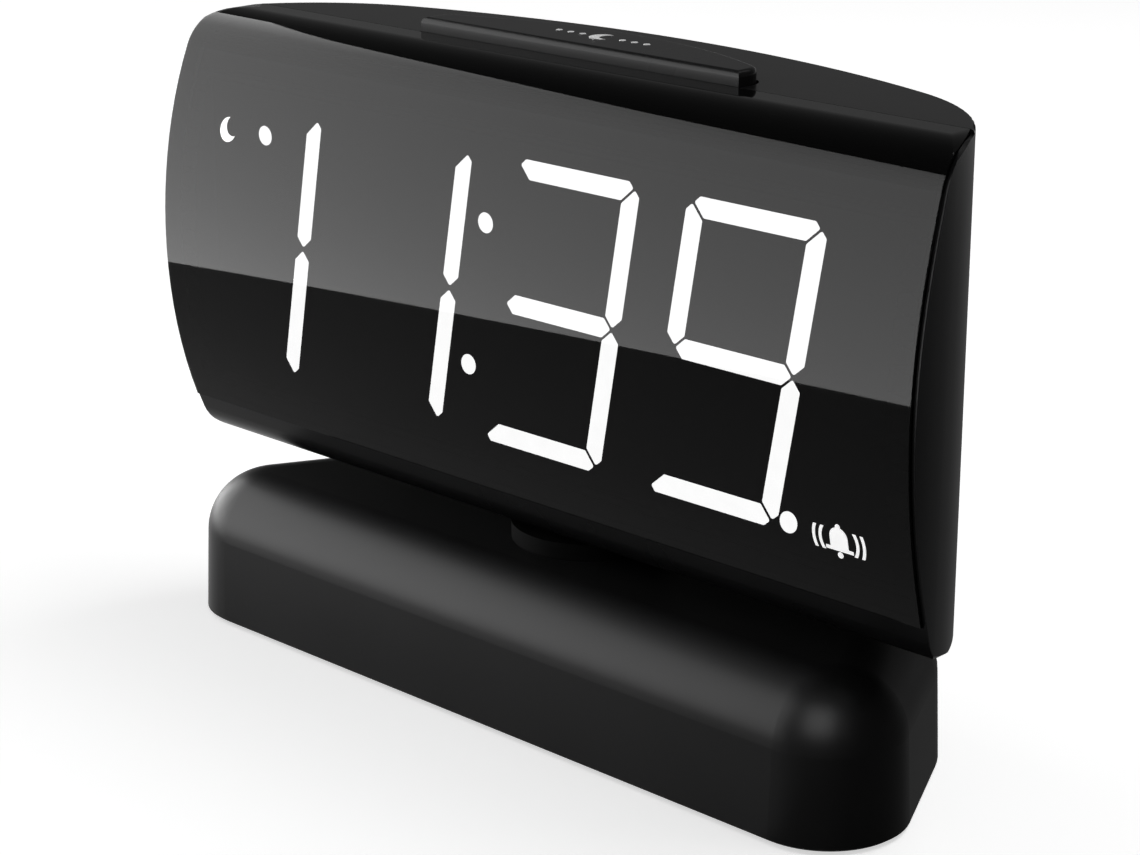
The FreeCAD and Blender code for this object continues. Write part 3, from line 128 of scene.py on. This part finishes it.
def soft_box(name, centre, wide, tall, radiance):
    """Rectangular lamp that faces the clock; radiance is its brightness, where 1 is white."""
    lamp = bpy.data.lights.new(name, "AREA")
    lamp.shape = "RECTANGLE"
    lamp.size = wide
    lamp.size_y = tall
    lamp.energy = radiance * wide * tall * math.pi
    box = bpy.data.objects.new(name, lamp)
    box.location = centre
    clock_middle = Vector((0, 0, 0.05))
    box.rotation_euler = (clock_middle - Vector(centre)).to_track_quat("-Z", "Y").to_euler()
    box.visible_camera = False
    scene.collection.objects.link(box)


soft_box("top_light", centre=(0.25, 0.35, 0.8), wide=0.7, tall=0.5, radiance=3.0)
soft_box("side_light", centre=(-0.95, -0.25, 0.55), wide=0.6, tall=0.5, radiance=3.5)


# ---------------------------------------------------------------- cards
# Cards that only glossy faces see. The white one, in front of the clock's left half, is what the lens mirrors as a
# grey field with straight edges; the small one over the camera puts the soft spot on the base's corner. The grey one
# lies behind and to the right, and keeps the ends of the head and base dark.
def spread(nodes, links, level, low, high, start=0.0, end=1.0):
    """Turns a level that runs from start to end into one that runs from low to high."""
    ramp = nodes.new("ShaderNodeMapRange")
    for socket, value in (("From Min", start), ("From Max", end), ("To Min", low), ("To Max", high)):
        ramp.inputs[socket].default_value = value
    links.new(level, ramp.inputs["Value"])
    return ramp.outputs["Result"]


def glossy_card(name, corners, foot, head, height=1.0, lean=0.0):
    """Flat card, hidden from the camera and from soft light.

    Its brightness runs from foot to head over its height. A lean below 0 takes it towards head on the left as well.
    """
    mesh = bpy.data.meshes.new(name)
    mesh.from_pydata(corners, [], [range(len(corners))])
    card = bpy.data.objects.new(name, mesh)
    scene.collection.objects.link(card)
    card.visible_camera = False
    card.visible_diffuse = False
    card.visible_transmission = False
    card.visible_shadow = False
    card_paint = bpy.data.materials.new(name)
    nodes, links = node_tree_of(card_paint)
    place = nodes.new("ShaderNodeTexCoord")
    rise = nodes.new("ShaderNodeVectorMath")
    rise.operation = "DOT_PRODUCT"
    rise.inputs[1].default_value = (lean, 0, 1)
    links.new(place.outputs["Object"], rise.inputs[0])
    glow = nodes.new("ShaderNodeEmission")
    glow.inputs["Color"].default_value = white
    links.new(spread(nodes, links, rise.outputs["Value"], foot, head, end=height), glow.inputs["Strength"])
    show(nodes, links, glow)
    mesh.materials.append(card_paint)


def facing(centre, target, wide, tall):
    """Corners of a rectangle round centre that faces its target."""
    turn = (Vector(target) - Vector(centre)).to_track_quat("-Z", "Y")
    return [Vector(centre) + turn @ Vector((x * wide / 2, y * tall / 2, 0))
            for x, y in ((-1, -1), (1, -1), (1, 1), (-1, 1))]


white_corners = [(-0.0705, -0.2498, 0), (-0.4929, 0.1327, 0), (-0.4929, 0.1327, 0.443), (-0.352, 0.0051, 0.374),
                 (-0.2113, -0.1223, 0.331), (-0.0705, -0.2498, 0.339)]
glossy_card("white_card", white_corners, foot=18.5, head=8.0, height=0.45, lean=-0.6)
spot_corners = facing((0.231, -0.346, 0.307), target=(0.07, -0.03, 0.03), wide=0.3, tall=0.35)
glossy_card("corner_card", spot_corners, foot=17.5, head=17.5)
grey_corners = [(x, y, 0.0004) for x, y in
                ((0.066, -0.06), (0.4, -0.06), (0.4, 0.5), (-0.3, 0.5), (-0.06, 0.03), (0.04, 0.03))]
glossy_card("grey_card", grey_corners, foot=0.2, head=0.2)


# ---------------------------------------------------------------- base
# The base is one hollow moulding in satin black ABS with a heavily rounded upper edge; a bottom plate closes it
# and is set in a little, so a thin dark line runs round the foot.
def speckle(nodes, links, scale, detail=2.0):
    """Noise that is fixed to the piece, with scale spots a metre; returns its level."""
    place = nodes.new("ShaderNodeTexCoord")
    noise = nodes.new("ShaderNodeTexNoise")
    noise.inputs["Scale"].default_value = scale
    noise.inputs["Detail"].default_value = detail
    links.new(place.outputs["Object"], noise.inputs["Vector"])
    return noise.outputs["Fac"]


def plastic(name, colour, rough, specular, grain=0.0, grain_size=0.0004, mottle=0.15):
    """Moulded plastic: colour and gloss drift a little over the part, and the surface has a fine grain."""
    drift_scale, drift_detail, haze_drift, grain_deep = 45.0, 3.0, 0.08, 0.0001
    material = bpy.data.materials.new(name)
    nodes, links = node_tree_of(material)
    skin = nodes.new("ShaderNodeBsdfPrincipled")
    skin.inputs["Specular IOR Level"].default_value = specular
    show(nodes, links, skin)
    drift = speckle(nodes, links, drift_scale, drift_detail)
    tint = nodes.new("ShaderNodeValToRGB")
    for stop, position, level in zip(tint.color_ramp.elements, (0.3, 0.7), (1 - mottle, 1 + mottle)):
        stop.position = position
        stop.color = (*(part * level for part in colour), 1)
    links.new(drift, tint.inputs["Fac"])
    links.new(tint.outputs["Color"], skin.inputs["Base Color"])
    haze = spread(nodes, links, drift, rough * (1 - haze_drift), rough * (1 + haze_drift))
    links.new(haze, skin.inputs["Roughness"])
    if grain:
        bump = nodes.new("ShaderNodeBump")
        bump.inputs["Strength"].default_value = grain
        bump.inputs["Distance"].default_value = grain_deep
        links.new(speckle(nodes, links, 1 / grain_size), bump.inputs["Height"])
        links.new(bump.outputs["Normal"], skin.inputs["Normal"])
    return material


def finish_with(material, slot, *names):
    """Gives CAD pieces their finish."""
    for name in names:
        piece = solids[name]
        piece.data.materials.clear()
        piece.data.materials.append(material)


base_satin = plastic("base_satin", (0.003, 0.003, 0.0031), 0.4, 0.056, grain=0.05)
finish_with(base_satin, "case_black", "base_shell")
plate_matt = plastic("plate_matt", (0.02, 0.02, 0.02), 0.6, 0.4, grain=0.2)
finish_with(plate_matt, "plate_black", "base_plate")

# ---------------------------------------------------------------- feet, screws and ballast
# Four rubber pads sit in pockets of the plate, and a steel slab inside keeps the high head from tipping the base.
# Zinc-plated screws hold the plate and slab, and the same kind holds the neck, the head's case and its board.
foot_rubber = plastic("foot_rubber", (0.03, 0.03, 0.03), 0.8, 0.3, grain=0.4, grain_size=0.0003)
finish_with(foot_rubber, "rubber", "rubber_feet")


def metal(name, colour, rough, brushed=0.0):
    """Plain metal; brushed is the strength of its fine rubbed grain."""
    material = plastic(name, colour, rough, 0.5, grain=brushed, grain_size=0.0002, mottle=0.08)
    material.node_tree.nodes["Principled BSDF"].inputs["Metallic"].default_value = 1.0
    return material


zinc = metal("zinc_plate", (0.55, 0.56, 0.57), 0.32, 0.1)
finish_with(zinc, "screw_steel", "base_screws", "ballast_screws", "neck_screws", "retainer_screw", "shell_screws",
            "snooze_board_screws")
slab_steel = metal("slab_steel", (0.3, 0.3, 0.3), 0.5, 0.3)
finish_with(slab_steel, "ballast_steel", "ballast_weight")

# ---------------------------------------------------------------- swivel
# The neck turns in an acetal bush pressed into the base's top, and a washer under the top keeps the head on.
# All three have the same black, made darker and less glossy than the plastic as painted shade from the head above.
# Painted shade: near-black colour and almost no gloss stand in for the shadow under the head.
bush_black_painted_shade = plastic("bush_black_painted_shade", (0.002, 0.002, 0.002), 0.5, 0.01)
finish_with(bush_black_painted_shade, "plate_black", "pivot_bush", "pivot_neck", "pivot_retainer")

# ---------------------------------------------------------------- head case
# Deck, ends, back and underside are one moulding in black ABS, a little glossier than the base.
# The long snooze bar on the deck is moulded in the same plastic.
case_gloss = plastic("case_gloss", (0.005, 0.005, 0.0052), 0.28, 0.05, grain=0.03)
finish_with(case_gloss, "case_black", "rear_shell", "snooze_bar")

# ---------------------------------------------------------------- lens
# The lens is 2 mm smoked acrylic, bent over the front and round onto the deck; its polish is faintly uneven.
# Its front faces hold back nearly all light and its back faces none, so it is smoked once. A black frame carries it.
smoke_cover = 0.965
lens_smoke = bpy.data.materials.new("lens_smoke")
nodes, links = node_tree_of(lens_smoke)
acrylic = nodes.new("ShaderNodeBsdfPrincipled")
acrylic.inputs["Base Color"].default_value = (0.002, 0.002, 0.002, 1)
acrylic.inputs["Specular IOR Level"].default_value = 0.05
back_face = nodes.new("ShaderNodeNewGeometry").outputs["Backfacing"]
links.new(spread(nodes, links, back_face, smoke_cover, 0.0), acrylic.inputs["Alpha"])
wipe_marks = speckle(nodes, links, 30.0, 4.0)
links.new(spread(nodes, links, wipe_marks, 0.015, 0.04, 0.35, 0.75), acrylic.inputs["Roughness"])
show(nodes, links, acrylic)
finish_with(lens_smoke, "smoked_lens", "lens")
frame_matt = plastic("frame_matt", (0.002, 0.002, 0.002), 0.7, 0.0)
finish_with(frame_matt, "mask_black", "front_frame", "display_mask")

# ---------------------------------------------------------------- numerals
# Lit strokes and dots are frosted white diffusers over light-emitting diodes, bright enough to come out white through
# the smoke. The strokes that are off stay dark behind the lens.
lit_low, lit_high = 26.5, 28.5
lit_white = bpy.data.materials.new("lit_white")
nodes, links = node_tree_of(lit_white)
diffuser = nodes.new("ShaderNodeBsdfPrincipled")
diffuser.inputs["Base Color"].default_value = (0.8, 0.8, 0.8, 1)
diffuser.inputs["Emission Color"].default_value = white
frosting = speckle(nodes, links, 400.0)
links.new(spread(nodes, links, frosting, lit_low, lit_high), diffuser.inputs["Emission Strength"])
show(nodes, links, diffuser)
finish_with(lit_white, "lit_white", "lit_segments", "colon_dots", "indicator_dots")
unlit_grey = plastic("unlit_grey", (0.004, 0.004, 0.004), 0.6, 0.0)
finish_with(unlit_grey, "unlit_grey", "unlit_segments")

# ---------------------------------------------------------------- printed signs
# A crescent with dots is pad-printed on the snooze bar in white ink, and a crescent and a bell beside the indicator
# dots. Those two are given a faint painted glow, though no lamp is behind them.
print_ink = plastic("print_ink", (0.8, 0.8, 0.8), 0.5, 0.3)
finish_with(print_ink, "print_white", "snooze_print")
legend_ink_painted_glow = plastic("legend_ink_painted_glow", (0.8, 0.8, 0.8), 0.5, 0.3)
legend_skin = legend_ink_painted_glow.node_tree.nodes["Principled BSDF"]
# Painted glow: the printed ink emits a little light of its own.
legend_skin.inputs["Emission Color"].default_value = white
legend_skin.inputs["Emission Strength"].default_value = 0.6
finish_with(legend_ink_painted_glow, "print_white", "indicator_prints")

# ---------------------------------------------------------------- boards
# Circuit boards of green laminate with their soldered parts: black moulded chips, switches and holders, nickel-plated
# metal, yellow epoxy diodes and sleeved capacitors. They are screwed or clipped inside the head, out of sight.
laminate = plastic("laminate", (0.02, 0.12, 0.05), 0.4, 0.5)
finish_with(laminate, "board_green", "display_board", "main_board", "button_board", "snooze_board")
epoxy = plastic("epoxy", (0.9, 0.85, 0.5), 0.3, 0.5)
finish_with(epoxy, "led_yellow", "display_leds")
part_black = plastic("part_black", (0.02, 0.02, 0.02), 0.45, 0.5, grain=0.1)
finish_with(part_black, "plate_black", "board_spacers", "board_header", "clock_chip", "power_chip", "buzzer",
            "power_jack", "button_switches", "alarm_switch_body", "dimmer_switch_body", "snooze_switches",
            "cell_holder")
nickel = metal("nickel", (0.72, 0.71, 0.68), 0.22)
finish_with(nickel, "contact_metal", "crystal_can", "jack_pin", "backup_cell", "cell_contact",
            "cell_holder_pins")
sleeve_blue = plastic("sleeve_blue", (0.03, 0.05, 0.15), 0.4, 0.5)
finish_with(sleeve_blue, "capacitor_blue", "smoothing_capacitors")

# ---------------------------------------------------------------- return springs
# Two coiled steel springs stand on the snooze board and push the bar up. They shorten as the bar goes down. Here
# they are made turn by turn, at one fixed length, in the place of the stiff ones.
MM = 0.001
spring_low, spring_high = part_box("snooze_springs")
spring_tall = spring_high[2] - spring_low[2]
spring_depth = (spring_low[1] + spring_high[1]) / 2
spring_aside = 12 * MM
wire_radius = 0.25 * MM
coil_radius = 2.4 * MM
coil_turns = 5
steps_a_turn = 28
wire_sides = 8
foot_z = spring_low[2] + wire_radius
coil_rise = spring_tall - 2 * wire_radius
rings = coil_turns * steps_a_turn + 1
points, faces = [], []
for middle in (-spring_aside, spring_aside):
    first = len(points)
    for ring in range(rings):
        turn = 2 * math.pi * ring / steps_a_turn
        outward = Vector((math.cos(turn), math.sin(turn), 0))
        centre = Vector((middle, spring_depth, foot_z + coil_rise * ring / (rings - 1))) + coil_radius * outward
        for side in range(wire_sides):
            angle = 2 * math.pi * side / wire_sides
            points.append(centre + wire_radius * (math.cos(angle) * outward + Vector((0, 0, math.sin(angle)))))
    for ring in range(rings - 1):
        for side in range(wire_sides):
            here = first + ring * wire_sides + side
            beside = first + ring * wire_sides + (side + 1) % wire_sides
            faces.append((here, here + wire_sides, beside + wire_sides, beside))
    faces.append([first + side for side in range(wire_sides)])
    faces.append([first + (rings - 1) * wire_sides + side for side in reversed(range(wire_sides))])
coil_mesh = bpy.data.meshes.new("return_springs")
coil_mesh.from_pydata(points, [], faces)
coil_mesh.polygons.foreach_set("use_smooth", [len(face) == 4 for face in faces])
coil_mesh.materials.append(nickel)
return_springs = bpy.data.objects.new("return_springs", coil_mesh)
scene.collection.objects.link(return_springs)
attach(return_springs, "head")
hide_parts("snooze_springs")
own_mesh(return_springs)

# ---------------------------------------------------------------- rear controls
# Four push buttons and two slide switches stand in the recess of the back, moulded in slightly lighter matt plastic.
# The cell's sliding door has the plastic of the case.
control_matt = plastic("control_matt", (0.03, 0.03, 0.031), 0.5, 0.5, grain=0.1)
finish_with(control_matt, "button_black", "time_button", "alarm_button", "hour_button", "minute_button",
            "alarm_slider", "dimmer_slider")
finish_with(case_gloss, "case_black", "battery_door")

# ---------------------------------------------------------------- control marks
# White signs, pad-printed on the recess's floor: a clock, a bell, a short hand and a long hand over the four buttons,
# off and on under the alarm slider, a small and a large dot under the dimmer, and the direct-current sign by the
# inlet. All are drawn as seen from behind, to the right and up from a control's middle.
recess_floor = 17.2 * MM
ink_thick = 0.03 * MM
sign_radius = 1.7 * MM
sign_line = 0.25 * MM
signs = bpy.data.curves.new("control_marks", "CURVE")
signs.dimensions = "2D"
signs.fill_mode = "BOTH"
signs.extrude = ink_thick


def outline(points):
    """Prints one closed outline; an outline inside another is left bare."""
    run = signs.splines.new("POLY")
    run.points.add(len(points) - 1)
    for point, (right, up) in zip(run.points, points):
        point.co = (right, up, 0, 1)
    run.use_cyclic_u = True


def disc(right, up, radius, start=0.0, end=2 * math.pi, steps=32):
    """Points round a circle or a part of one."""
    return [(right + radius * math.cos(start + (end - start) * step / steps),
             up + radius * math.sin(start + (end - start) * step / steps)) for step in range(steps)]


def panel(left, low, right, high):
    """Corners of a rectangle."""
    return [(left, low), (right, low), (right, high), (left, high)]


def dial(right, up, hand):
    """Ring with a hand or pair of hands in it, given in shares of the ring's radius."""
    outline(disc(right, up, sign_radius))
    outline(disc(right, up, sign_radius - sign_line))
    outline([(right + across * sign_radius, up + along * sign_radius) for across, along in hand])


def bell(right, up, radius):
    """Dome that flares to a rim, with its clapper below."""
    dome, dome_foot = 0.6 * radius, up + 0.15 * radius
    rim, rim_foot = 0.95 * radius, up - 0.6 * radius
    clapper, clapper_drop = 0.18 * radius, 0.8 * radius
    outline(disc(right, dome_foot, dome, 0, math.pi)
            + [(right - dome, dome_foot), (right - rim, rim_foot), (right + rim, rim_foot)])
    outline(disc(right, up - clapper_drop, clapper))


def middle_of(name):
    """Middle of a node, as seen from behind."""
    lowest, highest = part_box(name)
    return -(lowest[0] + highest[0]) / 2, (lowest[2] + highest[2]) / 2


above_button = 6.6 * MM
half_hand = 0.09
short_hand, long_hand = 0.42, 0.74
clock_right, clock_up = 0.5, 0.72
right, up = middle_of("time_button")
dial(right, up + above_button, [(-half_hand, -half_hand), (clock_right, -half_hand), (clock_right, half_hand),
                                (half_hand, half_hand), (half_hand, clock_up), (-half_hand, clock_up)])
right, up = middle_of("alarm_button")
bell(right, up + above_button, sign_radius)
for name, reach in (("hour_button", short_hand), ("minute_button", long_hand)):
    right, up = middle_of(name)
    dial(right, up + above_button, panel(-half_hand, -half_hand, half_hand, reach))

below_slider = 4.3 * MM
slider_travel = 4.0 * MM
off_ring, off_hole, on_bell = 0.45 * sign_radius, 0.3 * sign_radius, 0.6 * sign_radius
small_dot, large_dot = 0.25 * sign_radius, 0.5 * sign_radius
right, up = middle_of("alarm_slider")
outline(disc(right, up - below_slider, off_ring))
outline(disc(right, up - below_slider, off_hole))
bell(right - slider_travel, up - below_slider, on_bell)
right, up = middle_of("dimmer_slider")
outline(disc(right, up - below_slider, small_dot))
outline(disc(right - slider_travel, up - below_slider, large_dot))

above_inlet = 6.2 * MM
dash_half = 0.4 * MM
dash_pitch = 1.4 * MM
right, up = middle_of("power_jack")
up += above_inlet
outline(panel(right - sign_radius, up, right + sign_radius, up + sign_line))
for step in (-1, 0, 1):
    dash = right + step * dash_pitch
    outline(panel(dash - dash_half, up - 3 * sign_line, dash + dash_half, up - 2 * sign_line))

control_marks = bpy.data.objects.new("control_marks", signs)
control_marks.matrix_world = Matrix(((-1, 0, 0, 0), (0, 0, 1, recess_floor), (0, 1, 0, 0), (0, 0, 0, 1)))
signs.materials.append(print_ink)
scene.collection.objects.link(control_marks)
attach(control_marks, "head")
